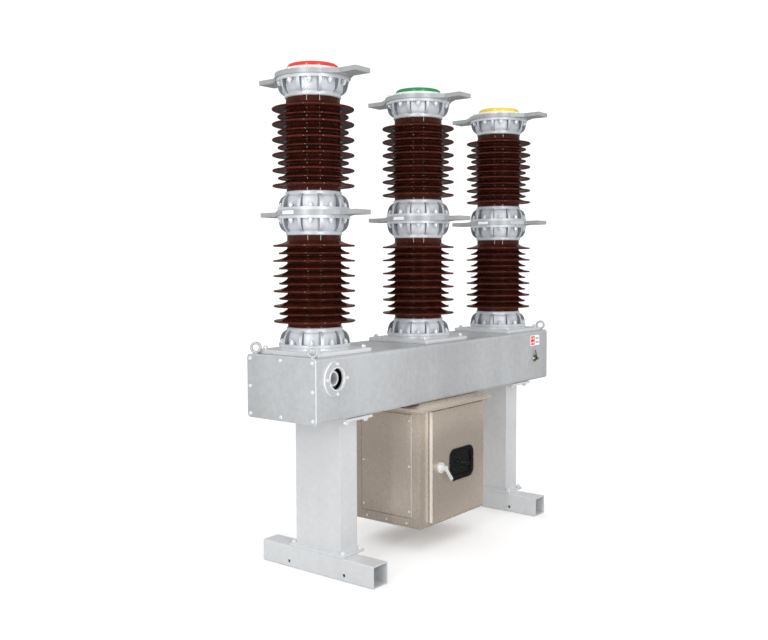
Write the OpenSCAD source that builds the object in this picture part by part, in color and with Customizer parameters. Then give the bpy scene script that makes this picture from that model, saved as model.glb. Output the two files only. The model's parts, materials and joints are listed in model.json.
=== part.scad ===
// Three-pole gas insulated circuit breaker on a common beam, with two legs on
// square feet and a spring drive in a stainless cabinet under the beam.
// Millimetres. X runs along the beam, -Y is the front with the door, +Z is up.
// The origin is on the ground under the middle pole.

/* [Poles] */
// Distance between neighbouring poles
pole_pitch = 780; // [660:5:940]
// Diameter of the large sheds
shed_d = 360; // [320:5:400]
// Diameter of the small sheds
small_shed_d = 312; // [280:4:340]
// Diameter of the porcelain tube between the sheds
core_d = 236; // [200:4:250]
// Number of large sheds on one insulator
shed_count = 6; // [4:1:8]
// Height from one large shed to the next
shed_pitch = 66; // [56:2:80]
// Bare porcelain below the lowest shed
bare_below = 28; // [24:1:40]
// Bare porcelain above the highest shed
bare_above = 48; // [30:1:60]
// Width of a flange's rim outside the porcelain
flange_rim_w = 40; // [34:1:50]
// Height of a cast flange
flange_h = 82; // [70:1:100]
// Number of ribs on a flange, with a bolt between each two
rib_count = 10; // [8:1:12]
// Width of the square plate under each pole outside the flange
base_rim_w = 22; // [16:1:30]
// Thickness of the square plate under each pole
base_t = 18; // [12:1:30]
// Height of the round boss between that plate and the lower flange
boss_h = 12; // [6:1:20]
// Diameter of the colour marked cap
cap_d = 224; // [160:4:230]

/* [Terminal plates] */
// Thickness of the terminal plates
terminal_t = 20; // [16:1:25]
// Width of a terminal plate's rim outside the flanges
terminal_rim_w = 7; // [4:1:14]
// Width of a terminal pad
pad_w = 96; // [84:2:120]
// Length of a terminal pad outside the round middle
pad_out = 117; // [100:1:150]
// Distance between the holes of a pad
pad_hole_gap = 50; // [40:1:50]
// Diameter of the holes of a pad
pad_hole_d = 14; // [11:0.5:18]

/* [Beam] */
// Length of the beam outside the end poles' square plates
beam_end_l = 35; // [30:1:80]
// Width of the beam in front of and behind the square plates
beam_side_w = 21; // [16:1:40]
// Height of the beam
beam_h = 278; // [240:2:330]
// Wall thickness of the beam and the legs
wall_t = 8; // [5:0.5:10]
// Outer corner radius of the beam
beam_r = 16; // [10:1:24]
// Thickness of the end covers
cover_t = 5; // [4:0.5:10]
// Diameter of the drive port's flange
port_d = 156; // [146:2:190]
// Diameter of the drive port's hole
port_hole_d = 92; // [70:1:96]
// Bolt circle diameter of the drive port
port_pcd = 128; // [116:1:140]
// Diameter of the drive port's tapped holes
port_bolt_d = 8.5; // [6.5:0.1:10.5]

/* [Legs and feet] */
// Height of a leg tube between its two plates
leg_h = 599; // [500:1:800]
// Leg width along the beam
leg_w = 116; // [100:2:130]
// Leg depth across the beam
leg_d = 266; // [220:2:300]
// Distance from the middle of the beam to a leg
leg_x = 712; // [600:2:800]
// Thickness of the plates on both ends of a leg
leg_plate_t = 12; // [8:1:16]
// Side of the square foot tube
foot_side = 100; // [90:1:110]
// Wall thickness of the foot tube
foot_wall = 6; // [4:0.5:8]
// Length of a foot
foot_l = 660; // [560:10:800]
// Sideways offset of a foot from its leg, towards -X
foot_offset = 25; // [15:1:25]
// Diameter of the anchor bolt holes in the feet
anchor_d = 22; // [18:1:26]
// Distance between the two anchor holes of a foot
anchor_gap = 480; // [420:10:500]

/* [Cabinet] */
// Width of the cabinet
cab_w = 536; // [440:4:660]
// Depth of the cabinet
cab_d = 410; // [340:2:490]
// Height of the cabinet
cab_h = 574; // [460:2:680]
// Height of the canopy between the cabinet and the beam
canopy_h = 34; // [30:1:60]
// Overhang of the canopy
canopy_out = 44; // [20:1:60]
// Sheet thickness of the cabinet and its door
sheet_t = 3; // [2:0.5:4]
// Width of the cabinet's frame left of the door
door_side_w = 71; // [50:1:90]
// Height of the cabinet's frame below the door
door_foot_h = 19; // [15:1:26]
// Depth of the door
door_d = 18; // [14:1:24]
// Clearance behind the closed door
door_gap = 3; // [2.5:0.1:6]
// Width of the window's gasket
window_w = 214; // [180:2:230]
// Height of the window's gasket
window_h = 160; // [140:2:260]
// Radius of the hinge pins
hinge_pin_r = 3; // [2:0.25:3]
// Length of the handle's lever
lever_l = 84; // [60:1:100]
// Angle of the lever from straight down
lever_lean = 40; // [0:5:50]

/* [Indicator] */
// Length of the indicator's pointer
pointer_l = 44; // [30:1:60]
// Width of the label over the indicator
label_w = 104; // [80:2:120]
// Height of the label over the indicator
label_h = 58; // [40:2:70]

/* [Hidden] */

ROUND = 96;
SMALL_ROUND = 32;
eps = 0.01;

galvanised = [0.70, 0.72, 0.74];
cast_alloy = [0.62, 0.63, 0.64];
porcelain = [0.22, 0.07, 0.05];
stainless = [0.62, 0.57, 0.52];
black_rubber = [0.04, 0.04, 0.04];

// Pole sizes
core_r = core_d / 2;
flange_d = core_d + 2 * flange_rim_w;
base_side = flange_d + 2 * base_rim_w;
terminal_d = flange_d + 2 * terminal_rim_w;
pad_reach = terminal_d / 2 + pad_out;
base_r = 8;

// Beam sizes and frame heights
beam_l = 2 * pole_pitch + base_side + 2 * beam_end_l;
beam_w = base_side + 2 * beam_side_w;
beam_z0 = foot_side + 2 * leg_plate_t + leg_h;
beam_z1 = beam_z0 + beam_h;

// Pole heights above the beam
insulator_l = bare_below + (shed_count - 1) * shed_pitch + bare_above;
flange_z = beam_z1 + base_t + boss_h;
lower_z = flange_z + flange_h;
terminal_1_z = lower_z + insulator_l + flange_h;
upper_z = terminal_1_z + terminal_t + flange_h;
terminal_2_z = upper_z + insulator_l + flange_h;
cap_z = terminal_2_z + terminal_t;

// Insulator sheds
shed_tip_r = 4.5;
shed_root_up = 21;
shed_root_down = 2;

// Cast flanges
flange_rim_t = 14;
collar_h = 13;
collar_wall = 5;
collar_r = core_r + collar_wall;
bell_in = 25;
bell_r = flange_d / 2 - bell_in;
bell_h = flange_h - flange_rim_t - collar_h;
bell_steps = 6;
rib_in = 3;
rib_r = flange_d / 2 - rib_in;
rib_t = 14;
rib_lap = 2;
rib_root = 20;
boss_in = 4;
boss_r = flange_d / 2 - boss_in;

// Terminal plates
pad_hole_edge = 20;
pad_y = pad_reach - pad_hole_edge - pad_hole_gap / 2;
arm_root_in = 7;
arm_root_angle = 48;
pad_l = 2 * pad_hole_edge + pad_hole_gap;

// Cap
cover_disc_h = 18;
cap_h = 26;
cap_rim_h = 14;
cap_edge = 7;
cap_dome = 40;
cap_fall = 2;
cap_flat_r = 24;
disc_rim_w = 14;
disc_r = cap_d / 2 + disc_rim_w;

// Beam fittings
cover_screw_r = 7.5;
cover_screw_h = 5;
cover_screw_in = 18;
port_edge_x = 46;
port_edge_z = 16;
port_x = -beam_l / 2 + port_edge_x + port_d / 2;
port_z = beam_z1 - port_edge_z - port_d / 2;
port_flange_t = 8;
bearing_setback = 10;
bearing_l = 50;
bearing_bore_d = 50;
bearing_wall = 9;
bearing_plate_w = 150;
bearing_plate_t = 8;
bearing_plate_foot = 54;
eye_r = 20.5;
eye_wire_r = 6;
eye_turn = 30;
eye_shank_r = 10;
eye_shank_h = 8;
eye_lift = 6;
eye_inset_x = 16;
eye_inset_y = 34;

// Legs and feet
top_plate_out = 30;
top_plate_w = leg_w + 2 * top_plate_out;
bottom_plate_out = 17;
bottom_plate_w = leg_w + 2 * bottom_plate_out;
bottom_plate_out_y = 27;
bottom_plate_l = leg_d + 2 * bottom_plate_out_y;
foot_r = foot_wall;
side_hole_d = 16;
side_hole_z = 28;
side_hole_gap = 330;

// Cabinet
cab_z1 = beam_z0 - canopy_h;
cab_z0 = cab_z1 - cab_h;
cab_front = -cab_d / 2;
post_w = 48;
rail_foot = 46;
rail_head = 18;
side_l = cab_d - 2 * post_w;
side_h = cab_h - rail_foot - rail_head;
side_z = cab_z0 + rail_foot + side_h / 2;
seam = 4;
panel_t = 7;
lip = 14;
canopy_lip = 14;
canopy_in = 10;
hanger_w = 60;
hanger_in = 40;
door_hinge_side_w = 3;
door_head_h = 11;
door_w = cab_w - door_side_w - door_hinge_side_w;
door_h = cab_h - door_foot_h - door_head_h;
door_x1 = cab_w / 2 - door_hinge_side_w;
door_x0 = door_x1 - door_w;
door_z0 = cab_z0 + door_foot_h;
door_front = cab_front - door_gap - door_d;
opening_in = 22;
door_fold_r = 3;

// Handle
rosette_r = 27;
rosette_t = 10;
shaft_r = 8;
shaft_inside = 10;
knob_r = 13;
knob_l = 26;
knob_gap = 0.3;
shaft_gap = 0.05;
lever_w = 16;
lever_t = 7;
handle_in = 66;
handle_up = 282;
handle_x = door_x0 + handle_in;
handle_z = cab_z0 + handle_up;

// Window, a third of the free width of the door away from the handle
window_free_w = door_x1 - handle_x - rosette_r - window_w;
window_x = handle_x + rosette_r + window_free_w / 3 + window_w / 2;
window_up = 275;
window_z = cab_z0 + window_up;
window_r = 40;
gasket_w = 24;
gasket_proud = 6;
gasket_neck = 16;
neck_gap = 0.2;
neck_l = 8;
neck_w = window_w - 2 * gasket_neck;
neck_h = window_h - 2 * gasket_neck;
sight_w = window_w - 2 * gasket_w;
sight_h = window_h - 2 * gasket_w;
glass_t = 4;
glass_setback = 2;
glass_gap = 0.3;

// Door pivots, one bracket and pin at the door's foot and one at its head
pin_clearance = 0.05;
pivot_wall_gap = 0.5;
pivot_in = sheet_t + hinge_pin_r + pivot_wall_gap;
hinge_x = door_x1 - pivot_in;
hinge_y = door_front + pivot_in;
pin_reach = 8;
pivot_gap = 1;
pivot_w = 18;
pivot_in_x = 11;
pivot_behind = 7;
pivot_leg = 9;
pivot_t = 3;

// Drive on the cabinet's back wall
drive_side_gap = 68;
drive_foot_gap = 60;
drive_head_gap = 70;
drive_plate_t = 12;
drive_plate = [cab_w - 2 * drive_side_gap, drive_plate_t, cab_h - drive_foot_gap - drive_head_gap];
drive_box_side = 50;
drive_box_d = 120;
drive_box_foot = 90;
drive_box_head = 70;
drive_seat = 4;
spring_r = 52;
spring_out = 2;
spring_box_gap = 6;
spring_foot = 40;
spring_head = 50;
spring_l = drive_plate[2] - spring_foot - spring_head;
drive_box = [
    drive_plate[0] - 2 * spring_r - spring_box_gap - drive_box_side,
    drive_box_d,
    drive_plate[2] - drive_box_foot - drive_box_head];
motor_r = 42;
motor_l = 90;
motor_foot = 10;

// Indicator
indicator_in = 145;
indicator_down = 153;
label_down = 52;
indicator_x = beam_l / 2 - indicator_in;
indicator_z = beam_z1 - indicator_down;
label_z = beam_z1 - label_down;
label_t = 2;
indicator_plate_r = 20;
indicator_plate_t = 4;
stud_r = 4;
stud_l = 28;
label_r = 6;
pointer_y = -beam_w / 2 - stud_l / 2;
pointer_t = 3;
pointer_w = 6;
pointer_lean = 15;
hub_r = 9;
hub_l = 8;

// Points of an arc, with n steps
function arc(cx, cy, r, a0, a1, n) =
    [for (i = [0:n]) let (a = a0 + (a1 - a0) * i / n) [cx + r * cos(a), cy + r * sin(a)]];

// Rectangle with rounded corners, centred
function round_rect(w, h, r, n = 6) = concat(
    arc(w / 2 - r, h / 2 - r, r, 0, 90, n),
    arc(-w / 2 + r, h / 2 - r, r, 90, 180, n),
    arc(-w / 2 + r, -h / 2 + r, r, 180, 270, n),
    arc(w / 2 - r, -h / 2 + r, r, 270, 360, n));

// Plate whose outline lies in X and Z and whose thickness runs along Y
module upright_plate(w, h, r, t) {
    rotate([90, 0, 0]) linear_extrude(t, center = true) polygon(round_rect(w, h, r));
}

// Plate whose outline lies in Y and Z and whose thickness runs along X
module end_plate(w, h, r, t) {
    rotate([90, 0, 90]) linear_extrude(t, center = true) polygon(round_rect(w, h, r));
}

module rod_along_y(r, l, round = SMALL_ROUND) {
    rotate([90, 0, 0]) cylinder(r = r, h = l, center = true, $fn = round);
}

// ---- Beam ----

module beam() {
    color(galvanised) difference() {
        translate([0, 0, beam_z0 + beam_h / 2]) end_plate(beam_w, beam_h, beam_r, beam_l);
        translate([0, 0, beam_z0 + beam_h / 2])
            end_plate(beam_w - 2 * wall_t, beam_h - 2 * wall_t, beam_r - wall_t / 2, beam_l + 2);
        translate([port_x, -beam_w / 2, port_z])
            rod_along_y(port_hole_d / 2, 4 * wall_t, ROUND);
    }
}

module end_covers() {
    for (side = [-1, 1])
        color(galvanised) translate([side * beam_l / 2, 0, beam_z0 + beam_h / 2])
            rotate([0, side * 90, 0]) end_cover();
}

// Cover that lies on its back, with a screw head at each corner and at the middle of each side
module end_cover() {
    y = beam_w / 2 - cover_screw_in;
    z = beam_h / 2 - cover_screw_in;
    translate([0, 0, cover_t / 2]) rotate([0, -90, 0]) end_plate(beam_w, beam_h, beam_r, cover_t);
    for (i = [-1:1], j = [-1:1]) if (i != 0 || j != 0)
        translate([i * z, j * y, cover_t])
            cylinder(r = cover_screw_r, h = cover_screw_h, $fn = SMALL_ROUND);
}

module port_flange() {
    color(galvanised) translate([port_x, -(beam_w + port_flange_t) / 2, port_z]) difference() {
        rod_along_y(port_d / 2, port_flange_t, ROUND);
        rod_along_y(port_hole_d / 2, port_flange_t + 2, ROUND);
        for (a = [0:90:270]) rotate([0, a, 0]) translate([0, 0, port_pcd / 2])
            rod_along_y(port_bolt_d / 2, port_flange_t + 2);
    }
}

// Shaft bearing behind the port, on a plate that hangs from the beam's top wall
module port_bearing() {
    y0 = -beam_w / 2 + wall_t + bearing_setback;
    plate_h = beam_z1 - wall_t - port_z + bearing_plate_foot;
    color(cast_alloy) difference() {
        union() {
            translate([port_x, y0 + bearing_l / 2, port_z])
                rod_along_y(bearing_bore_d / 2 + bearing_wall, bearing_l, ROUND);
            translate([port_x, y0 + bearing_l, beam_z1 - wall_t - plate_h / 2])
                cube([bearing_plate_w, bearing_plate_t, plate_h], center = true);
        }
        translate([port_x, y0 + bearing_l / 2, port_z])
            rod_along_y(bearing_bore_d / 2, bearing_l + 4 * bearing_plate_t, ROUND);
    }
}

module lifting_eyes() {
    x = beam_l / 2 - eye_inset_x;
    y = beam_w / 2 - eye_inset_y;
    for (sx = [-1, 1], sy = [-1, 1])
        color(galvanised) translate([sx * x, sy * y, beam_z1]) lifting_eye();
}

module lifting_eye() {
    cylinder(r = eye_shank_r, h = eye_shank_h, $fn = SMALL_ROUND);
    translate([0, 0, eye_lift + eye_r]) rotate([0, 90, eye_turn]) rotate_extrude($fn = ROUND)
        translate([eye_r, 0]) circle(r = eye_wire_r, $fn = 24);
}

// ---- Legs and feet ----

module legs() {
    for (side = [-1, 1]) color(galvanised) translate([side * leg_x, 0, foot_side]) leg();
}

module leg() {
    difference() {
        union() {
            translate([0, 0, leg_plate_t / 2])
                cube([bottom_plate_w, bottom_plate_l, leg_plate_t], center = true);
            translate([0, 0, leg_plate_t + leg_h / 2])
                cube([leg_w, leg_d, leg_h], center = true);
            translate([0, 0, leg_h + 1.5 * leg_plate_t])
                cube([top_plate_w, beam_w, leg_plate_t], center = true);
        }
        translate([0, 0, leg_plate_t + leg_h / 2])
            cube([leg_w - 2 * wall_t, leg_d - 2 * wall_t, leg_h + 4 * leg_plate_t], center = true);
    }
}

module feet() {
    for (side = [-1, 1])
        color(galvanised) translate([side * leg_x - foot_offset, 0, foot_side / 2]) foot();
}

module foot() {
    inner = foot_side - 2 * foot_wall;
    difference() {
        rotate([90, 0, 0]) linear_extrude(foot_l, center = true)
            polygon(round_rect(foot_side, foot_side, foot_r));
        rotate([90, 0, 0]) linear_extrude(foot_l + 2, center = true)
            polygon(round_rect(inner, inner, foot_r / 2));
        for (y = [-1, 1]) {
            translate([0, y * anchor_gap / 2, -foot_side / 2])
                cylinder(d = anchor_d, h = 4 * foot_wall, center = true, $fn = SMALL_ROUND);
            translate([-foot_side / 2, y * side_hole_gap / 2, side_hole_z - foot_side / 2])
                rotate([0, 90, 0])
                    cylinder(d = side_hole_d, h = 4 * foot_wall, center = true, $fn = SMALL_ROUND);
        }
    }
}

// ---- Indicator on the beam's front ----

module label_plate() {
    color("white") translate([indicator_x, -(beam_w + label_t) / 2, label_z])
        upright_plate(label_w, label_h, label_r, label_t);
}

module indicator_base() {
    color("khaki") translate([indicator_x, -beam_w / 2, indicator_z]) {
        translate([0, -indicator_plate_t / 2, 0])
            rod_along_y(indicator_plate_r, indicator_plate_t, ROUND);
        translate([0, -stud_l / 2, 0]) rod_along_y(stud_r, stud_l);
    }
}

module indicator_pointer() {
    color("black") translate([indicator_x, pointer_y, indicator_z]) rotate([0, -pointer_lean, 0])
        difference() {
            union() {
                rod_along_y(hub_r, hub_l);
                translate([0, 0, pointer_l / 2 + hub_r / 2])
                    cube([pointer_w, pointer_t, pointer_l], center = true);
            }
            rod_along_y(stud_r + shaft_gap, 2 * hub_l);
        }
}

// ---- Cabinet ----

module cabinet_body() {
    color(stainless) difference() {
        union() {
            difference() {
                translate([-cab_w / 2, cab_front, cab_z0]) cube([cab_w, cab_d, cab_h]);
                translate([-cab_w / 2 + sheet_t, cab_front + sheet_t, cab_z0 + sheet_t])
                    cube([cab_w - 2 * sheet_t, cab_d - 2 * sheet_t, cab_h - 2 * sheet_t]);
                for (side = [-1, 1]) translate([side * cab_w / 2, 0, side_z])
                    cube([4 * sheet_t, side_l, side_h], center = true);
            }
            for (side = [-1, 1]) translate([side * (cab_w / 2 - 1.5 * sheet_t), 0, side_z])
                side_lip(side_l, side_h);
        }
        translate([door_x0 + opening_in, cab_front - 1, door_z0 + opening_in])
            cube([door_w - 2 * opening_in, sheet_t + 2, door_h - 2 * opening_in]);
    }
}

// Frame behind a side panel's edges
module side_lip(l, h) {
    difference() {
        cube([sheet_t, l + 2 * lip, h + 2 * lip], center = true);
        cube([2 * sheet_t, l - 2 * lip, h - 2 * lip], center = true);
    }
}

module cabinet_side_panels() {
    panel = [panel_t, side_l - 2 * seam, side_h - 2 * seam];
    for (side = [-1, 1])
        color(stainless) translate([side * (cab_w / 2 - sheet_t + panel_t / 2), 0, side_z])
            cube(panel, center = true);
}

// Sloped outline of the canopy, seen along one axis, shrunk by t and lowered by drop
module canopy_outline(w, t, drop) {
    lip_w = w / 2 + canopy_out - t;
    top_w = w / 2 - canopy_in;
    polygon([
        [-lip_w, -drop], [lip_w, -drop], [lip_w, canopy_lip - t / 2],
        [top_w, canopy_h - t], [-top_w, canopy_h - t], [-lip_w, canopy_lip - t / 2]]);
}

module canopy_solid(t, drop) {
    intersection() {
        rotate([90, 0, 0]) linear_extrude(2 * cab_d, center = true) canopy_outline(cab_w, t, drop);
        rotate([90, 0, 90]) linear_extrude(2 * cab_w, center = true) canopy_outline(cab_d, t, drop);
    }
}

module cabinet_canopy() {
    color(stainless) translate([0, 0, cab_z1]) difference() {
        canopy_solid(0, 0);
        canopy_solid(sheet_t, 1);
    }
}

module cabinet_hangers() {
    hanger = [hanger_w, cab_d - 2 * hanger_in, canopy_h - sheet_t];
    for (side = [-1, 1])
        color(galvanised) translate([side * cab_w / 4, 0, cab_z1 + hanger[2] / 2])
            cube(hanger, center = true);
}

module door_hinges() {
    color(stainless) {
        translate([hinge_x, 0, door_z0 - pivot_gap]) pivot_bracket();
        translate([hinge_x, 0, door_z0 + door_h + pivot_gap]) mirror([0, 0, 1]) pivot_bracket();
    }
}

// Angle bracket below a door fold, with its pin standing up into the fold
module pivot_bracket() {
    reach = cab_front - hinge_y + pivot_behind;
    translate([-pivot_in_x, cab_front - reach, -pivot_t]) cube([pivot_w, reach, pivot_t]);
    translate([-pivot_in_x, cab_front - pivot_t, -pivot_leg]) cube([pivot_w, pivot_t, pivot_leg]);
    translate([0, hinge_y, -pivot_t])
        cylinder(r = hinge_pin_r, h = pivot_t + pivot_gap + pin_reach, $fn = SMALL_ROUND);
}

// Spring drive on the cabinet's back wall, with the spring's drum on the left of its box
module drive_unit() {
    face = cab_d / 2 - sheet_t - drive_plate[1];
    left = -drive_plate[0] / 2;
    z0 = cab_z0 + drive_foot_gap;
    box_x = left + 2 * spring_r + spring_box_gap;
    color("slategray") {
        translate([left, face, z0]) cube(drive_plate);
        translate([box_x, face - drive_box[1], z0 + drive_box_foot]) cube(drive_box);
        translate([left + spring_r - spring_out, face - spring_r + drive_seat, z0 + spring_foot])
            cylinder(r = spring_r, h = spring_l, $fn = ROUND);
        translate([-left / 2, face - motor_r + drive_seat, z0 + motor_foot])
            cylinder(r = motor_r, h = motor_l, $fn = ROUND);
    }
}

// ---- Door ----

module door() {
    color(stainless) difference() {
        union() {
            door_tray();
            translate([handle_x, door_front - rosette_t / 2, handle_z])
                rod_along_y(rosette_r, rosette_t, ROUND);
        }
        for (z = [door_z0, door_z0 + door_h]) translate([hinge_x, hinge_y, z])
            cylinder(r = hinge_pin_r + pin_clearance, h = 4 * sheet_t, center = true, $fn = SMALL_ROUND);
        translate([handle_x, door_front, handle_z]) rod_along_y(shaft_r + shaft_gap, 4 * door_d);
    }
}

// Shallow tray, open to the back, with the window's opening through its face
module door_tray() {
    difference() {
        translate([door_x0 + door_w / 2, door_front, door_z0 + door_h / 2]) difference() {
            translate([0, door_d / 2, 0]) upright_plate(door_w, door_h, door_fold_r, door_d);
            translate([0, sheet_t + door_d / 2, 0])
                upright_plate(door_w - 2 * sheet_t, door_h - 2 * sheet_t, door_fold_r / 2, door_d);
        }
        translate([window_x, door_front, window_z])
            upright_plate(neck_w, neck_h, window_r - gasket_neck, 4 * sheet_t);
    }
}

// Rubber ring with a flange on the door's face and a neck through the door
module window_gasket() {
    color(black_rubber) translate([window_x, door_front, window_z]) difference() {
        union() {
            translate([0, -gasket_proud / 2, 0]) upright_plate(window_w, window_h, window_r, gasket_proud);
            translate([0, neck_l / 2 - eps, 0])
                upright_plate(neck_w - 2 * neck_gap, neck_h - 2 * neck_gap, window_r - gasket_neck, neck_l);
        }
        upright_plate(sight_w, sight_h, window_r - gasket_w, 4 * neck_l);
    }
}

module window_glass() {
    color([0.5, 0.6, 0.6, 0.4]) translate([window_x, door_front + glass_setback, window_z])
        upright_plate(sight_w - 2 * glass_gap, sight_h - 2 * glass_gap, window_r - gasket_w, glass_t);
}

module door_handle() {
    shaft_l = shaft_inside + rosette_t + knob_l;
    color("silver") translate([handle_x, door_front - rosette_t, handle_z]) {
        translate([0, shaft_inside + rosette_t - shaft_l / 2, 0]) rod_along_y(shaft_r, shaft_l);
        translate([0, -knob_l / 2 - knob_gap, 0]) rod_along_y(knob_r, knob_l, ROUND);
        rotate([0, -lever_lean, 0]) translate([0, -knob_l + lever_t / 2, -lever_l / 2])
            cube([lever_w, lever_t, lever_l], center = true);
    }
}

// ---- Poles ----

// Outline of one shed, from its lower root to its upper root
function shed(z, r) = concat(
    [[core_r, z - shed_tip_r + shed_root_down]],
    arc(r - shed_tip_r, z, shed_tip_r, -90, 70, 4),
    [[core_r, z + shed_root_up]]);

function insulator_outline() = concat(
    [[0, 0], [core_r, 0]],
    [for (i = [0:shed_count - 1]) each concat(
        shed(bare_below + i * shed_pitch, shed_d / 2),
        i < shed_count - 1 ? shed(bare_below + (i + 0.5) * shed_pitch, small_shed_d / 2) : [])],
    [[core_r, insulator_l], [0, insulator_l]]);

module insulator() {
    color(porcelain) rotate_extrude($fn = ROUND) polygon(insulator_outline());
}

// Points up a bell from a radius at the rim to the collar
function bell_side(r) = [for (i = [0:bell_steps - 1]) let (share = i / bell_steps)
    [collar_r + (r - collar_r) * sqrt(1 - share * share), flange_rim_t + bell_h * share]];

function flange_outline() = concat(
    [[0, 0], [flange_d / 2, 0], [flange_d / 2, flange_rim_t]],
    bell_side(bell_r),
    [[collar_r, flange_rim_t + bell_h], [collar_r, flange_h], [0, flange_h]]);

function rib_outline() = concat(
    [[collar_r - rib_root, flange_rim_t - rib_lap], [rib_r, flange_rim_t - rib_lap]],
    [for (p = bell_side(rib_r)) if (p[1] > flange_rim_t) p],
    [[collar_r + rib_lap, flange_rim_t + bell_h + rib_lap],
        [collar_r - rib_root, flange_rim_t + bell_h + rib_lap]]);

// Cast flange with its rim at the bottom, its collar at the top and ribs between them
module flange() {
    rotate_extrude($fn = ROUND) polygon(flange_outline());
    for (i = [0:rib_count - 1]) rotate([0, 0, (i + 0.5) * 360 / rib_count])
        rotate([90, 0, 0]) linear_extrude(rib_t, center = true) polygon(rib_outline());
}

module upper_side_flange() {
    mirror([0, 0, 1]) flange();
}

module base_plate() {
    color(galvanised) translate([0, 0, beam_z1]) {
        linear_extrude(base_t) polygon(round_rect(base_side, base_side, base_r));
        cylinder(r = boss_r, h = base_t + boss_h, $fn = ROUND);
    }
}

module lower_flange() {
    color(cast_alloy) translate([0, 0, flange_z]) flange();
}

module middle_flanges() {
    color(cast_alloy) {
        translate([0, 0, terminal_1_z]) upper_side_flange();
        translate([0, 0, terminal_1_z + terminal_t]) flange();
    }
}

// Top flange under the upper terminal plate, and the cover disc over it
module top_flange() {
    color(cast_alloy) {
        translate([0, 0, terminal_2_z]) upper_side_flange();
        translate([0, 0, cap_z]) cylinder(r = disc_r, h = cover_disc_h, $fn = ROUND);
    }
}

// Round plate with a bolted pad to the front and to the back
module terminal_plate() {
    arm_root = (terminal_d / 2 - arm_root_in) * [cos(arm_root_angle), sin(arm_root_angle)];
    color(cast_alloy) linear_extrude(terminal_t) difference() {
        union() {
            circle(d = terminal_d, $fn = ROUND);
            for (turn = [0, 180]) rotate(turn) polygon([
                [-arm_root[0], arm_root[1]], arm_root,
                [pad_w / 2, pad_reach - pad_l], [pad_w / 2, pad_reach],
                [-pad_w / 2, pad_reach], [-pad_w / 2, pad_reach - pad_l]]);
        }
        for (side = [-1, 1], x = [-1, 1], y = [-1, 1])
            translate([x * pad_hole_gap / 2, side * pad_y + y * pad_hole_gap / 2])
                circle(d = pad_hole_d, $fn = SMALL_ROUND);
    }
}

module lower_terminal() {
    translate([0, 0, terminal_1_z]) terminal_plate();
}

module upper_terminal() {
    translate([0, 0, terminal_2_z]) terminal_plate();
}

module phase_cap(colour) {
    r = cap_d / 2;
    color(colour) translate([0, 0, cap_z + cover_disc_h]) rotate_extrude($fn = ROUND)
        polygon([[0, 0], [r, 0], [r, cap_rim_h], [r - cap_edge, cap_rim_h + cap_edge],
            [r - cap_dome, cap_h - cap_fall], [cap_flat_r, cap_h], [0, cap_h]]);
}

// One piece of one pole, at the pole's place along the beam
module pole_piece(place, piece) {
    x = place == "left" ? -pole_pitch : place == "right" ? pole_pitch : 0;
    colour = place == "left" ? "crimson" : place == "right" ? "gold" : "seagreen";
    translate([x, 0, 0]) {
        if (piece == "base_plate") base_plate();
        if (piece == "lower_flange") lower_flange();
        if (piece == "lower_insulator") translate([0, 0, lower_z]) insulator();
        if (piece == "middle_flanges") middle_flanges();
        if (piece == "lower_terminal") lower_terminal();
        if (piece == "upper_insulator") translate([0, 0, upper_z]) insulator();
        if (piece == "top_flange") top_flange();
        if (piece == "upper_terminal") upper_terminal();
        if (piece == "cap") phase_cap(colour);
    }
}

beam();
end_covers();
port_flange();
port_bearing();
lifting_eyes();
legs();
feet();
label_plate();
indicator_base();
indicator_pointer();
cabinet_body();
cabinet_canopy();
cabinet_hangers();
cabinet_side_panels();
door_hinges();
drive_unit();
door();
window_gasket();
window_glass();
door_handle();
for (place = ["left", "middle", "right"])
    for (piece = ["base_plate", "lower_flange", "lower_insulator", "middle_flanges", "lower_terminal",
                  "upper_insulator", "top_flange", "upper_terminal", "cap"])
        pole_piece(place, piece);
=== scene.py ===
"""Finishes and detail pieces of a three-pole gas insulated circuit breaker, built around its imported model.

Metres. X runs along the beam, -Y is the front with the door, +Z is up, and the origin is on the ground
under the middle pole. Sizes that belong to the model come from the boxes of its nodes; the dataclass
fields hold the sizes of what is added here, such as screws, nuts, beads and seals.
"""

from __future__ import annotations

import json
import logging
import math
from dataclasses import dataclass, field
from enum import Enum
from typing import Callable, Iterable, Sequence

import bmesh
import bpy
from mathutils import Matrix, Vector

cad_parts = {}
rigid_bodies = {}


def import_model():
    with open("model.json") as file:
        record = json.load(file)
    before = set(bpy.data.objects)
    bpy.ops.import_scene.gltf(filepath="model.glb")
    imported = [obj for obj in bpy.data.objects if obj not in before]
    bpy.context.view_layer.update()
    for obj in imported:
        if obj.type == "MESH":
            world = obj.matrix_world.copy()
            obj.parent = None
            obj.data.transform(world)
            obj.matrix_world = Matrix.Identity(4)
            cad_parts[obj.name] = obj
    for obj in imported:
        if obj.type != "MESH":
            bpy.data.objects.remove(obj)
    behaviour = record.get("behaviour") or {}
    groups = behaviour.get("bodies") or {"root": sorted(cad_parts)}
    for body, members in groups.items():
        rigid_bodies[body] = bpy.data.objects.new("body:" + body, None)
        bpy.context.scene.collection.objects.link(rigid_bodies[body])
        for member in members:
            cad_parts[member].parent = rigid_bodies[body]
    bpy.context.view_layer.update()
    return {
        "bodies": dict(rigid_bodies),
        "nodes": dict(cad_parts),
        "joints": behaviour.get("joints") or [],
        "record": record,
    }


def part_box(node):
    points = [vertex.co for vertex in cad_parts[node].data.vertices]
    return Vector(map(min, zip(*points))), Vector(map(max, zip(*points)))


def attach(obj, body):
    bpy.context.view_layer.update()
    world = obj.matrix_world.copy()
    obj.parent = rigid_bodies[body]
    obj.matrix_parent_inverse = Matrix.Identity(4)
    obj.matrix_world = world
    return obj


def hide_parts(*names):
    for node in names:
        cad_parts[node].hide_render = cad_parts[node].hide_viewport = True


LOG = logging.getLogger("breaker")
SMOOTH_ANGLE = math.radians(32.0)
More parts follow.
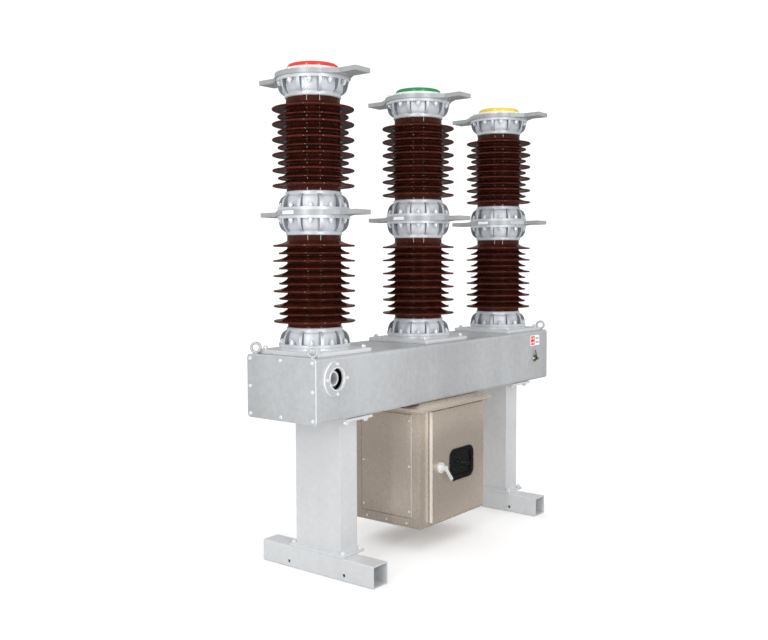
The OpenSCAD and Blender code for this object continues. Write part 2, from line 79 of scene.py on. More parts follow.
Colour = tuple[float, float, float]


# ---------------------------------------------------------------- shader expressions


class Value:
    """A shader socket that takes part in Python arithmetic."""

    def __init__(self, graph: Graph, socket: bpy.types.NodeSocket) -> None:
        """Keeps the socket and the graph that it belongs to."""
        self.graph = graph
        self.socket = socket

    def _maths(self, operation: str, first: Value | float, second: Value | float) -> Value:
        """Adds one Math node on two values."""
        return self.graph.node("ShaderNodeMath", {"operation": operation}, {0: first, 1: second})

    def __add__(self, other: Value | float) -> Value:
        """Sum."""
        return self._maths("ADD", self, other)

    def __radd__(self, other: float) -> Value:
        """Sum with the number first."""
        return self._maths("ADD", other, self)

    def __sub__(self, other: Value | float) -> Value:
        """Difference."""
        return self._maths("SUBTRACT", self, other)

    def __rsub__(self, other: float) -> Value:
        """Difference with the number first."""
        return self._maths("SUBTRACT", other, self)

    def __mul__(self, other: Value | float) -> Value:
        """Product."""
        return self._maths("MULTIPLY", self, other)

    def __rmul__(self, other: float) -> Value:
        """Product with the number first."""
        return self._maths("MULTIPLY", other, self)

    def ramp(self, low: float, high: float) -> Value:
        """Smooth step from 0 at low to 1 at high."""
        limits = {0: self, 1: low, 2: high, 3: 0.0, 4: 1.0}
        return self.graph.node("ShaderNodeMapRange", {"interpolation_type": "SMOOTHSTEP"}, limits)


class Graph:
    """The node tree of one material, with its Principled shader."""

    def __init__(self, name: str) -> None:
        """Makes an empty material of that name with one shader and one output."""
        self.material = bpy.data.materials.new(name)
        self.material.use_nodes = True
        self.tree = self.material.node_tree
        self.tree.nodes.clear()
        self.shader = self.tree.nodes.new("ShaderNodeBsdfPrincipled")
        out = self.tree.nodes.new("ShaderNodeOutputMaterial")
        self.tree.links.new(self.shader.outputs[0], out.inputs["Surface"])

    def node(
        self, kind: str, settings: dict | None = None, inputs: dict | None = None, output: int | str = 0
    ) -> Value:
        """Adds any node.

        Args:
            kind: The node's type.
            settings: Its properties, set first.
            inputs: Values or links, by socket name or number.
            output: The socket to hand back.

        Returns:
            The chosen output as a value.
        """
        made = self.tree.nodes.new(kind)
        for key, value in (settings or {}).items():
            setattr(made, key, value)
        for key, value in (inputs or {}).items():
            self.feed(made.inputs[key], value)
        return Value(self, made.outputs[output])

    def feed(self, socket: bpy.types.NodeSocket, value: Value | float | Sequence[float]) -> None:
        """Links a value to a socket, or sets a constant on it."""
        if isinstance(value, Value):
            self.tree.links.new(value.socket, socket)
        elif isinstance(value, tuple) and len(value) == 3 and socket.type == "RGBA":
            socket.default_value = (*value, 1.0)
        else:
            socket.default_value = value

    def place(self, stretch: Sequence[float] = (1.0, 1.0, 1.0)) -> Value:
        """Object coordinates, stretched along the axes."""
        spot = self.node("ShaderNodeTexCoord", output="Object")
        return self.node("ShaderNodeMapping", {}, {"Vector": spot, "Scale": tuple(stretch)})

    def noise(self, scale: float, detail: float = 3.0, stretch: Sequence[float] = (1.0, 1.0, 1.0)) -> Value:
        """Fractal noise from 0 to 1 at a scale per metre."""
        inputs = {"Vector": self.place(stretch), "Scale": scale, "Detail": detail, "Roughness": 0.55}
        return self.node("ShaderNodeTexNoise", {}, inputs)

    def cells(self, scale: float) -> Value:
        """A random tone for each crystal of a cell pattern."""
        tint = self.node("ShaderNodeTexVoronoi", {}, {"Vector": self.place(), "Scale": scale}, "Color")
        return self.node("ShaderNodeRGBToBW", {}, {0: tint})

    def blend(self, share: Value | float, first: Value | Colour, second: Value | Colour) -> Value:
        """A colour between two colours."""
        return self.node("ShaderNodeMix", {"data_type": "RGBA"}, {0: share, 6: first, 7: second}, 2)

    def bump(self, height: Value, distance: float, strength: float = 1.0) -> Value:
        """A bumped normal from a height in units of a distance in metres."""
        return self.node("ShaderNodeBump", {}, {"Strength": strength, "Distance": distance, "Height": height})

    def shade(self, **inputs: Value | float | Sequence[float]) -> bpy.types.Material:
        """Sets the shader's sockets by name, with _ for a space, and hands back the material."""
        for key, value in inputs.items():
            self.feed(self.shader.inputs[key.replace("_", " ")], value)
        return self.material


# ---------------------------------------------------------------- finishes


@dataclass(frozen=True)
class Finish:
    """A finish with one colour, slight cloudiness and a fine surface texture."""

    name: str
    colour: Colour
    slot: str
    rough: float = 0.4
    metal: float = 0.0
    cloud: float = 0.08
    grain_scale: float = 900.0
    grain_depth: float = 0.00004
    coat: float = 0.0

    def tones(self, share: float) -> Colour:
        """The colour, darkened or lightened by a share."""
        return tuple(max(0.0, min(1.0, c * (1.0 + share))) for c in self.colour)

    def build(self) -> bpy.types.Material:
        """Makes the material."""
        g = Graph(self.name)
        cloud = g.noise(7.0, 4.0)
        grain = g.noise(self.grain_scale, 2.0)
        return g.shade(
            Base_Color=g.blend(cloud.ramp(0.3, 0.7), self.tones(-self.cloud), self.tones(self.cloud)),
            Roughness=self.rough - 0.05 + cloud * 0.1,
            Metallic=self.metal,
            Coat_Weight=self.coat,
            Coat_Roughness=0.06,
            Normal=g.bump(grain, self.grain_depth),
        )


@dataclass(frozen=True)
class Galvanised(Finish):
    """Hot dip galvanised steel: crystals, faint runs down the sides, and a dull zinc bloom."""

    crystal_scale: float = 60.0

    def build(self) -> bpy.types.Material:
        """Makes the material."""
        g = Graph(self.name)
        crystal = g.cells(self.crystal_scale)
        cloud = g.noise(3.2, 5.0)
        runs = g.noise(9.0, 3.0, (1.0, 1.0, 0.12))
        sheen = g.noise(1.3, 1.0)
        tone = crystal * 0.12 + cloud * 0.2 + runs * 0.2 + sheen * 0.48
        speck = g.noise(260.0, 2.0).ramp(0.66, 0.8)
        base = g.blend(tone.ramp(0.3, 0.7), self.tones(-self.cloud), self.tones(self.cloud))
        return g.shade(
            Base_Color=g.blend(speck * 0.2, base, self.tones(-0.25)),
            Roughness=self.rough - 0.1 + tone * 0.2,
            Metallic=self.metal,
            Normal=g.bump(cloud * 0.5 + g.noise(130.0, 4.0) * 0.5, self.grain_depth),
        )


@dataclass(frozen=True)
class CastAlloy(Finish):
    """Sand cast aluminium alloy, grit blasted, with darker pits; a darker copy of it is painted shade on the
    sides of the flange ribs.
    """

    def build(self) -> bpy.types.Material:
        """Makes the material."""
        g = Graph(self.name)
        cloud = g.noise(14.0, 5.0)
        sand = g.noise(420.0, 3.0)
        pits = g.noise(150.0, 2.0).ramp(0.62, 0.75)
        base = g.blend(cloud.ramp(0.3, 0.7), self.tones(-self.cloud), self.tones(self.cloud))
        return g.shade(
            Base_Color=g.blend(pits * 0.3, base, self.tones(-0.3)),
            Roughness=self.rough - 0.08 + sand * 0.16,
            Metallic=self.metal,
            Normal=g.bump(sand - pits * 0.6, self.grain_depth),
        )


@dataclass(frozen=True)
class BrownGlaze(Finish):
    """Brown porcelain glaze that pools darker and breaks to red-brown, under a glassy coat."""

    light: Colour = (0.062, 0.0135, 0.008)
    gloss: float = 0.0

    def build(self) -> bpy.types.Material:
        """Makes the material."""
        g = Graph(self.name)
        pool = g.noise(22.0, 4.0)
        fleck = g.noise(310.0, 2.0).ramp(0.6, 0.78)
        base = g.blend(pool.ramp(0.3, 0.75), self.colour, self.light)
        return g.shade(
            Base_Color=g.blend(fleck * 0.35, base, self.tones(-0.6)),
            Roughness=self.rough + fleck * 0.06,
            Specular_IOR_Level=self.gloss,
            Coat_Weight=self.coat,
            Coat_Roughness=0.02,
            Normal=g.bump(g.noise(48.0, 2.0), self.grain_depth),
        )


@dataclass(frozen=True)
class Brushed(Finish):
    """Brushed stainless sheet with its grain along the height, and faint handling marks."""

    stretch: Colour = (1.0, 1.0, 0.02)

    def build(self) -> bpy.types.Material:
        """Makes the material."""
        g = Graph(self.name)
        strokes = g.noise(700.0, 2.0, self.stretch)
        cloud = g.noise(1.7, 0.0, (1.0, 1.0, 1.8))
        marks = g.noise(26.0, 5.0).ramp(0.58, 0.72)
        base = g.blend(cloud.ramp(0.3, 0.7), self.tones(-self.cloud), self.tones(self.cloud))
        return g.shade(
            Base_Color=g.blend(strokes * 0.12, base, self.tones(-0.2)),
            Roughness=self.rough - 0.02 + strokes * 0.05 + marks * 0.03,
            Metallic=self.metal,
            Normal=g.bump(strokes, self.grain_depth),
        )


@dataclass(frozen=True)
class Rubber(Finish):
    """Moulded black rubber with a dull bloom."""

    def build(self) -> bpy.types.Material:
        """Makes the material."""
        g = Graph(self.name)
        bloom = g.noise(40.0, 4.0).ramp(0.45, 0.8)
        return g.shade(
            Base_Color=g.blend(bloom * 0.25, self.colour, (0.03, 0.03, 0.032)),
            Specular_IOR_Level=0.25,
            Roughness=self.rough + bloom * 0.15,
            Normal=g.bump(g.noise(800.0, 3.0), self.grain_depth),
        )


@dataclass(frozen=True)
class Glazing(Finish):
    """Dark safety glass with a trace of dust."""

    clear: float = 0.4

    def build(self) -> bpy.types.Material:
        """Makes the material."""
        g = Graph(self.name)
        dust = g.noise(30.0, 4.0).ramp(0.55, 0.8)
        material = g.shade(
            Base_Color=g.blend(dust * 0.2, self.colour, (0.1, 0.1, 0.1)),
            Roughness=self.rough + dust * 0.1,
            Alpha=self.clear + dust * 0.06,
            Coat_Weight=self.coat,
            Coat_Roughness=0.02,
        )
        material.surface_render_method = "BLENDED"
        return material


class Stock(Enum):
    """The finishes of the breaker's pieces."""

    GALVANISED = Galvanised(
        "galvanised_steel", (0.55, 0.565, 0.58), "galvanised_steel", 0.4, 0.38, 0.14, grain_depth=0.00018
    )
    # painted light: a lighter copy of the galvanised finish, standing in for the stronger light on the legs,
    # feet and base plates
    BRIGHT = Galvanised(
        "galvanised_painted_light", (0.71, 0.725, 0.74), "galvanised_steel", 0.36, 0.3, 0.07, grain_depth=0.00018
    )
    # painted highlight: a near white galvanised copy, laid on the edges and side faces of the end covers and
    # the port flange
    EDGE = Galvanised(
        "galvanised_painted_edge_highlight", (0.95, 0.96, 0.97), "galvanised_steel", 0.3, 0.2, 0.02, grain_depth=0.0001
    )
    CAST = CastAlloy("cast_alloy", (0.66, 0.69, 0.73), "cast_alloy", 0.4, 0.35, 0.08, grain_depth=0.0003)
    # painted shade: a dark copy of the cast finish, laid on the sides of the flange ribs
    PAINTED_RIB_SHADE = CastAlloy("cast_painted_rib_shade", (0.2, 0.215, 0.24), "cast_alloy", 0.5, 0.3, 0.1, grain_depth=0.0003)
    TERMINAL = CastAlloy(
        "terminal_alloy", (0.45, 0.46, 0.465), "cast_alloy", 0.4, 0.4, 0.06, grain_depth=0.00015
    )
    GLAZE = BrownGlaze(
        "brown_glaze", (0.034, 0.0078, 0.0048), "brown_glaze", 0.16, coat=0.5, grain_depth=0.00025
    )
    RIM = BrownGlaze(
        "brown_glaze_rim", (0.05, 0.0105, 0.0065), "brown_glaze", 0.2, coat=0.5, grain_depth=0.00025,
        light=(0.085, 0.018, 0.011),
    )
    STAINLESS = Brushed(
        "stainless_sheet", (0.7, 0.6, 0.51), "stainless_sheet", 0.26, 0.6, 0.16, grain_depth=0.000008
    )
    # painted highlight: a near white stainless copy, laid on the door's left fold and the side panels' front
    # edges
    PAINTED_FOLD_HIGHLIGHT = Brushed(
        "stainless_painted_fold_highlight", (0.97, 0.93, 0.88), "stainless_sheet", 0.24, 0.35, 0.03, grain_depth=0.000008
    )
    RUBBER = Rubber("black_rubber", (0.006, 0.006, 0.007), "black_rubber", 0.42)
    GLASS = Glazing("window_glass", (0.008, 0.01, 0.01), "window_glass", 0.05, coat=0.6)
    CHROME = Finish(
        "handle_chrome", (0.92, 0.92, 0.93), "handle_chrome", 0.2, 0.45, 0.03, grain_depth=0.00001
    )
    ZINC = Finish(
        "plated_fasteners", (0.9, 0.9, 0.91), "galvanised_steel", 0.3, 0.4, 0.06, grain_depth=0.00003
    )
    DRIVE = Finish("drive_paint", (0.16, 0.18, 0.2), "drive_paint", 0.42, 0.1, 0.1, grain_depth=0.00008)
    WHITE = Finish("white_enamel", (0.86, 0.86, 0.86), "label_face", 0.35, 0.0, 0.03, coat=0.3)
    COVER = Finish("cover_enamel", (0.88, 0.89, 0.9), "cast_alloy", 0.35, 0.1, 0.03, coat=0.3)
    BRASS = Finish("indicator_brass", (0.55, 0.42, 0.2), "indicator_brass", 0.3, 0.95, 0.1)
    POINTER = Finish("pointer_black", (0.025, 0.025, 0.027), "pointer_black", 0.4, 0.0, 0.1)
    RED = Finish("red_paint", (0.76, 0.022, 0.012), "red_paint", 0.3, 0.0, 0.08, coat=0.5)
    GREEN = Finish("green_paint", (0.0, 0.25, 0.06), "green_paint", 0.3, 0.0, 0.08, coat=0.5)
    YELLOW = Finish("yellow_paint", (0.83, 0.6, 0.015), "yellow_paint", 0.3, 0.0, 0.08, coat=0.5)
    CEMENT = Finish("joint_cement", (0.5, 0.5, 0.49), "cast_alloy", 0.8, 0.0, 0.12, 300.0, 0.0003)


class Store:
    """The materials made so far, one for each finish."""

    def __init__(self) -> None:
        """Starts empty."""
        self.made: dict[Stock, bpy.types.Material] = {}

    def get(self, stock: Stock) -> bpy.types.Material:
        """The material of a finish, made on first use."""
        if stock not in self.made:
            self.made[stock] = stock.value.build()
        return self.made[stock]


# ---------------------------------------------------------------- shapes


class Shape:
    """A closed form in the making, with bmesh operators behind each method."""

    def __init__(self) -> None:
        """Starts with an empty mesh."""
        self.bm = bmesh.new()

    @classmethod
    def block(cls, size: Sequence[float], edge: float = 0.0, steps: int = 2) -> Shape:
        """A block about the origin, with its edges rounded."""
        shape = cls()
        bmesh.ops.create_cube(shape.bm, size=1.0)
        bmesh.ops.scale(shape.bm, vec=Vector(size), verts=shape.bm.verts[:])
        return shape.rounded(edge, steps)

    @classmethod
    def prism(
        cls, sides: int, radius: float, height: float, edge: float = 0.0, steps: int = 1, turn: float = 0.0
    ) -> Shape:
        """A prism that stands on the XY plane, round or with flats."""
        shape = cls()
        bmesh.ops.create_cone(
            shape.bm, cap_ends=True, segments=sides, radius1=radius, radius2=radius, depth=height,
            matrix=Matrix.Translation((0, 0, height / 2)) @ Matrix.Rotation(turn, 4, "Z"),
        )
        return shape.rounded(edge, steps)

    @classmethod
    def lathe(cls, profile: Sequence[tuple[float, float]], steps: int) -> Shape:
        """A turned form from a profile of radii and heights.

        Args:
            profile: The points in order; a point on the axis closes an end.
            steps: Steps of the full turn.

        Returns:
            The form, about the Z axis.
        """
        shape = cls()
        points = [shape.bm.verts.new((r, 0.0, z)) for r, z in profile]
        edges = [shape.bm.edges.new(pair) for pair in zip(points, points[1:])]
        bmesh.ops.spin(
            shape.bm, geom=points + edges, cent=(0, 0, 0), axis=(0, 0, 1), angle=2 * math.pi, steps=steps,
            use_merge=True, use_duplicate=False,
        )
        bmesh.ops.remove_doubles(shape.bm, verts=shape.bm.verts[:], dist=1e-6)
        bmesh.ops.recalc_face_normals(shape.bm, faces=shape.bm.faces[:])
        return shape

    @classmethod
    def copy_of(cls, node: bpy.types.Object) -> Shape:
        """A copy of a model node's mesh, merged, with its flat areas joined."""
        shape = cls()
        shape.bm.from_mesh(node.data)
        bmesh.ops.remove_doubles(shape.bm, verts=shape.bm.verts[:], dist=2e-5)
        bmesh.ops.dissolve_limit(
            shape.bm, angle_limit=math.radians(0.4), use_dissolve_boundaries=False,
            verts=shape.bm.verts[:], edges=shape.bm.edges[:], delimit=set(),
        )
        return shape

    def rounded(self, edge: float, steps: int = 2, angle: float = SMOOTH_ANGLE) -> Shape:
        """Rounds the edges that turn by more than an angle."""
        if edge > 0.0:
            sharp = [e for e in self.bm.edges if len(e.link_faces) == 2 and e.calc_face_angle() > angle]
            bmesh.ops.bevel(
                self.bm, geom=sharp, offset=edge, offset_type="OFFSET", segments=steps, profile=0.5,
                affect="EDGES", clamp_overlap=True, material=-1,
            )
        return self

    def moved(self, by: Sequence[float]) -> Shape:
        """Moves the form."""
        bmesh.ops.translate(self.bm, vec=Vector(by), verts=self.bm.verts[:])
        return self

    def turned(self, degrees: float, axis: str) -> Shape:
        """Turns the form about an axis through the origin."""
        turn = Matrix.Rotation(math.radians(degrees), 3, axis)
        bmesh.ops.rotate(self.bm, cent=(0, 0, 0), matrix=turn, verts=self.bm.verts[:])
        return self


class Piece:
    """One visible piece: forms gathered in one mesh, with their finishes, that rides on a body."""

    def __init__(self, store: Store, name: str, body: str) -> None:
        """Starts an empty piece.

        Args:
            store: The materials.
            name: The piece's name.
            body: The body that it rides on.
        """
        self.store = store
        self.name = name
        self.body = body
        self.bm = bmesh.new()
        self.stocks: list[Stock] = []

    def add(self, shape: Shape, stock: Stock, spots: Iterable[Matrix] = (Matrix(),)) -> Piece:
        """Adds a form in one finish, once at each place, and frees the form.

        Args:
            shape: The form.
            stock: Its finish.
            spots: A transform for each copy.

        Returns:
            The piece itself.
        """
        if stock not in self.stocks:
            self.stocks.append(stock)
        index = self.stocks.index(stock)
        mesh = bpy.data.meshes.new("form")
        for face in shape.bm.faces:
            face.material_index = index
        shape.bm.to_mesh(mesh)
        shape.bm.free()
        for spot in spots:
            copy = mesh.copy()
            copy.transform(spot)
            self.bm.from_mesh(copy)
            bpy.data.meshes.remove(copy)
        bpy.data.meshes.remove(mesh)
        return self

    def repaint(self, stock: Stock, where: Callable[[Vector, Vector], bool]) -> Piece:
        """Gives the faces whose middle and normal pass a test another finish."""
        if stock not in self.stocks:
            self.stocks.append(stock)
        self.bm.normal_update()
        for face in self.bm.faces:
            if where(face.calc_center_median(), face.normal):
                face.material_index = self.stocks.index(stock)
        return self

    def finish(self, *replaced: str, flat: bool = True) -> bpy.types.Object:
        """Makes the object.

        Args:
            replaced: The model nodes that it stands for.
            flat: Keeps large flat faces flat by weighting the normals.

        Returns:
            The object, at the origin.
        """
        for face in self.bm.faces:
            face.smooth = True
        for edge in self.bm.edges:
            if len(edge.link_faces) == 2 and edge.calc_face_angle() > SMOOTH_ANGLE * 1.6:
                edge.smooth = False
        mesh = bpy.data.meshes.new(self.name)
        self.bm.to_mesh(mesh)
        self.bm.free()
        for stock in self.stocks:
            mesh.materials.append(self.store.get(stock))
        made = bpy.data.objects.new(self.name, mesh)
        bpy.context.scene.collection.objects.link(made)
        if flat:
            normals = made.modifiers.new("weighted normals", "WEIGHTED_NORMAL")
            normals.mode = "FACE_AREA"
            normals.weight = 50
            normals.keep_sharp = True
        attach(made, self.body)
        if replaced:
            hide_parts(*replaced)
        LOG.info("%s: %d faces", self.name, len(mesh.polygons))
        return made


def ring(count: int, radius: float, centre: Vector, start: float = 0.0) -> list[Matrix]:
    """Places evenly round a vertical axis, each turned to face outwards."""
    return [
        Matrix.Translation(centre) @ Matrix.Rotation(math.radians(start) + 2 * math.pi * i / count, 4, "Z")
        @ Matrix.Translation((radius, 0, 0))
        for i in range(count)
    ]


def at(points: Iterable[Sequence[float]], towards: Sequence[float] = (0, 0, 1)) -> list[Matrix]:
    """Places at points, with the form's Z axis turned towards a direction."""
    turn = Vector(towards).to_track_quat("Z", "Y").to_matrix().to_4x4()
    return [Matrix.Translation(Vector(p)) @ turn for p in points]


@dataclass
class Fastener:
    """A hex screw or a stud with its nut and washer."""

    flats: float = 0.019
    height: float = 0.0095
    washer: float = 0.0025
    stud: float = 0.0

    def form(self) -> Shape:
        """The head or nut on its washer, standing on the XY plane."""
        corner = self.flats / 2 / math.cos(math.pi / 6)
        head = Shape.prism(6, corner, self.height, self.flats * 0.055, 1, math.pi / 6)
        head.moved((0, 0, self.washer))
        mesh = bpy.data.meshes.new("washer")
        disc = Shape.prism(20, self.flats * 0.64, self.washer, self.washer * 0.25)
        disc.bm.to_mesh(mesh)
        head.bm.from_mesh(mesh)
        disc.bm.free()
        if self.stud > 0.0:
            bolt = Shape.prism(14, self.flats * 0.31, self.stud, self.flats * 0.05)
            bolt.moved((0, 0, self.washer + self.height))
            bolt.bm.to_mesh(mesh)
            head.bm.from_mesh(mesh)
            bolt.bm.free()
        bpy.data.meshes.remove(mesh)
        return head


# ---------------------------------------------------------------- sub-assemblies


@dataclass
class Workshop:
    """What every sub-assembly needs: the model's nodes and the materials."""

    frame: dict
    store: Store = field(default_factory=Store)

    def piece(self, name: str, body: str = "frame") -> Piece:
        """A new piece on a body."""
        return Piece(self.store, name, body)

    def dressed(self, node: str, stock: Stock, edge: float, body: str = "frame", steps: int = 2) -> Piece:
        """A piece that starts as a node's shape with its edges rounded."""
        shape = Shape.copy_of(self.frame["nodes"][node]).rounded(edge, steps)
        return self.piece(f"{node}_finished", body).add(shape, stock)


class Phase(Enum):
    """A pole's place along the beam, with the paint of its cap."""

    LEFT = ("left", Stock.RED)
    MIDDLE = ("middle", Stock.GREEN)
    RIGHT = ("right", Stock.YELLOW)


@dataclass
class Insulator:
    """A porcelain insulator with a large and a small shed in turn."""

    shop: Workshop
    node: str
    centre: float
    large: int = 6
    pitch: float = 0.066
    first: float = 0.028
    core: float = 0.118
    small: float = 0.156
    tip: float = 0.0042
    lip: float = 0.0055
    turn_steps: int = 112

    def shed(self, height: float, reach: float) -> list[tuple[float, float]]:
        """The profile of one shed, from its lower root over its lip to its upper root.

        Args:
            height: Height of the lip's centre.
            reach: Radius of the lip.

        Returns:
            Points of radius and height.
        """
        middle = reach - self.tip
        span = middle - self.core
        lower = [
            (self.core + span * t, height - self.tip + 0.0022 * (1 - t) ** 2 + 0.0005)
            for t in (0.08, 0.4, 0.75)
        ]
        drip = [(middle - 0.004, height - self.tip - 0.0002)]
        lip = [
            (middle + self.tip * math.cos(a), height + self.tip * math.sin(a))
            for a in (math.radians(d) for d in (-90, -50, -10, 30, 65))
        ]
        upper = [
            (self.core + span * t, height + self.tip * 0.9 + 0.0165 * (1 - t) ** 1.6)
            for t in (0.8, 0.55, 0.3, 0.12)
        ]
        return [(self.core, height - 0.006), *lower, *drip, *lip, *upper, (self.core, height + 0.0225)]

    def build(self) -> None:
        """Turns the insulator and puts it in its node's place."""
        low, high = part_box(self.node)
        large_r = (high.x - low.x) / 2
        length = high.z - low.z
        profile: list[tuple[float, float]] = [(0.0, 0.0), (self.core, 0.0), (self.core, 0.008)]
        for i in range(self.large * 2 - 1):
            height = self.first + i * self.pitch / 2
            profile += self.shed(height, self.small if i % 2 else large_r)
        profile += [(self.core, length - 0.008), (self.core, length), (0.0, length)]
        body = Shape.lathe(profile, self.turn_steps).moved((self.centre, 0.0, low.z))
        piece = self.shop.piece(f"{self.node}_glazed", "frame").add(body, Stock.GLAZE)
        piece.repaint(Stock.RIM, lambda spot, _: self.on_rim(spot, low.z, large_r))
        piece.finish(self.node, flat=False)

    def on_rim(self, spot: Vector, foot: float, large_r: float) -> bool:
        """Whether a spot lies on a shed's lip, where the glaze is thin.

        Args:
            spot: The spot.
            foot: Height of the insulator's lower end.
            large_r: Radius of the large sheds.

        Returns:
            True on a lip.
        """
        place = (spot.z - foot - self.first) / (self.pitch / 2)
        nearest = round(place)
        reach = self.small if nearest % 2 else large_r
        radius = math.hypot(spot.x - self.centre, spot.y)
        return abs(place - nearest) * self.pitch / 2 < self.tip + 0.001 and radius > reach - self.lip


@dataclass
class Pole:
    """One pole: its plate, flanges, insulators, terminals and painted cap."""

    shop: Workshop
    phase: Phase
    bolts: int = 10
    bolt_circle: float = 0.1452
    flange_rim: float = 0.014
    collar: float = 0.123
    corner: float = 0.153
    boss: float = 0.012
    nut: Fastener = field(default_factory=lambda: Fastener(0.0185, 0.012, 0.0025, 0.006))
    head: Fastener = field(default_factory=lambda: Fastener(0.0185, 0.008, 0.0025))
    anchor: Fastener = field(default_factory=lambda: Fastener(0.0195, 0.009, 0.0025, 0.004))

    def node(self, name: str) -> str:
        """A node's full name on this pole."""
        return f"{self.phase.value[0]}_{name}"

    @property
    def centre(self) -> float:
        """Where the pole stands along the beam."""
        low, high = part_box(self.node("base_plate"))
        return (low.x + high.x) / 2

    def cement(self, radius: float, height: float, up: bool) -> Shape:
        """The bead of cement between a collar and the porcelain."""
        side = 1.0 if up else -1.0
        profile = [
            (radius - 0.0075, height - side * 0.002), (radius - 0.0012, height - side * 0.002),
            (radius - 0.0018, height + side * 0.0012), (radius - 0.004, height + side * 0.0026),
            (radius - 0.0065, height + side * 0.0046), (radius - 0.0075, height - side * 0.002),
        ]
        return Shape.lathe(profile, 72).moved((self.centre, 0, 0))

    def nuts(self, height: float, up: bool, fastener: Fastener) -> tuple[Shape, list[Matrix]]:
        """A ring of nuts on a flange.

        Args:
            height: Height of the face that they sit on.
            up: Whether they stand up or hang down.
            fastener: The nut or head.

        Returns:
            The form and its places.
        """
        flip = Matrix() if up else Matrix.Rotation(math.pi, 4, "X")
        spots = ring(self.bolts, self.bolt_circle, Vector((self.centre, 0, height)))
        return fastener.form(), [spot @ flip for spot in spots]

    def build_base(self) -> None:
        """The square plate with its corner screws, and the lower flange with its nuts."""
        _, plate_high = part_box(self.node("base_plate"))
        # the base plate takes the lighter galvanised copy, which is painted light
        plate = self.shop.dressed(self.node("base_plate"), Stock.BRIGHT, 0.0022)
        top = plate_high.z - self.boss
        centre = self.centre
        corners = [(centre + sx * self.corner, sy * self.corner, top) for sx in (-1, 1) for sy in (-1, 1)]
        plate.add(self.anchor.form(), Stock.ZINC, at(corners))
        plate.finish(self.node("base_plate"))
        low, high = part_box(self.node("lower_flange"))
        flange = self.shop.dressed(self.node("lower_flange"), Stock.CAST, 0.0013)
        self.paint_rib_shade(flange)
        flange.add(*self._nuts_in(low.z + self.flange_rim, True))
        flange.add(self.cement(self.collar, high.z, True), Stock.CEMENT)
        flange.finish(self.node("lower_flange"))

    def _nuts_in(self, height: float, up: bool) -> tuple[Shape, Stock, list[Matrix]]:
        """The nuts in a flange's pockets, as the arguments of Piece.add."""
        form, spots = self.nuts(height, up, self.nut)
        return form, Stock.ZINC, spots

    def paint_rib_shade(self, piece: Piece) -> None:
        """Paints shade on the sides of a flange's ribs, in a darker copy of the cast finish."""
        centre = self.centre

        def is_side(spot: Vector, normal: Vector) -> bool:
            """Whether a face turns neither outwards nor up or down."""
            outward = Vector((spot.x - centre, spot.y, 0)).normalized()
            return abs(normal.dot(outward)) < 0.4 and abs(normal.z) < 0.4

        # painted shade on the rib sides
        piece.repaint(Stock.PAINTED_RIB_SHADE, is_side)

    def build_middle(self) -> None:
        """The two middle flanges, and the lower terminal with its rating lug between them."""
        low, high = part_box(self.node("middle_flanges"))
        ring_low, ring_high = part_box(self.node("lower_terminal"))
        flanges = self.shop.dressed(self.node("middle_flanges"), Stock.CAST, 0.0013)
        self.paint_rib_shade(flanges)
        flanges.add(*self._nuts_in(ring_low.z - self.flange_rim, False))
        flanges.add(*self._nuts_in(ring_high.z + self.flange_rim, True))
        flanges.add(self.cement(self.collar, low.z, False), Stock.CEMENT)
        flanges.add(self.cement(self.collar, high.z, True), Stock.CEMENT)
        flanges.finish(self.node("middle_flanges"))
        terminal = self.shop.dressed(self.node("lower_terminal"), Stock.TERMINAL, 0.0015)
        radius = (ring_high.x - ring_low.x) / 2
        lug = Shape.block((0.006, 0.062, 0.0155), 0.0014).moved(
            (self.centre - radius + 0.0016, 0, (ring_low.z + ring_high.z) / 2)
        )
        terminal.add(lug, Stock.WHITE)
        terminal.finish(self.node("lower_terminal"))

    def build_top(self) -> None:
        """The top flange, the upper terminal with its screw heads, the white cover and the painted cap."""
        ring_low, ring_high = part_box(self.node("upper_terminal"))
        low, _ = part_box(self.node("top_flange"))
        top = self.shop.dressed(self.node("top_flange"), Stock.CAST, 0.0013)
        self.paint_rib_shade(top)
        top.repaint(Stock.COVER, lambda spot, _: spot.z > ring_high.z - 0.001)
        top.add(*self._nuts_in(ring_low.z - self.flange_rim, False))
        top.add(self.cement(self.collar, low.z, False), Stock.CEMENT)
        top.finish(self.node("top_flange"))
        terminal = self.shop.dressed(self.node("upper_terminal"), Stock.TERMINAL, 0.0015)
        form, spots = self.nuts(ring_high.z, True, self.head)
        terminal.add(form, Stock.ZINC, spots)
        terminal.finish(self.node("upper_terminal"))
        cap = self.shop.dressed(self.node("cap"), self.phase.value[1], 0.003, steps=3)
        cap.finish(self.node("cap"))

    def build(self) -> None:
        """Builds the pole from its foot to its cap."""
        self.build_base()
        Insulator(self.shop, self.node("lower_insulator"), self.centre).build()
        self.build_middle()
        Insulator(self.shop, self.node("upper_insulator"), self.centre).build()
        self.build_top()


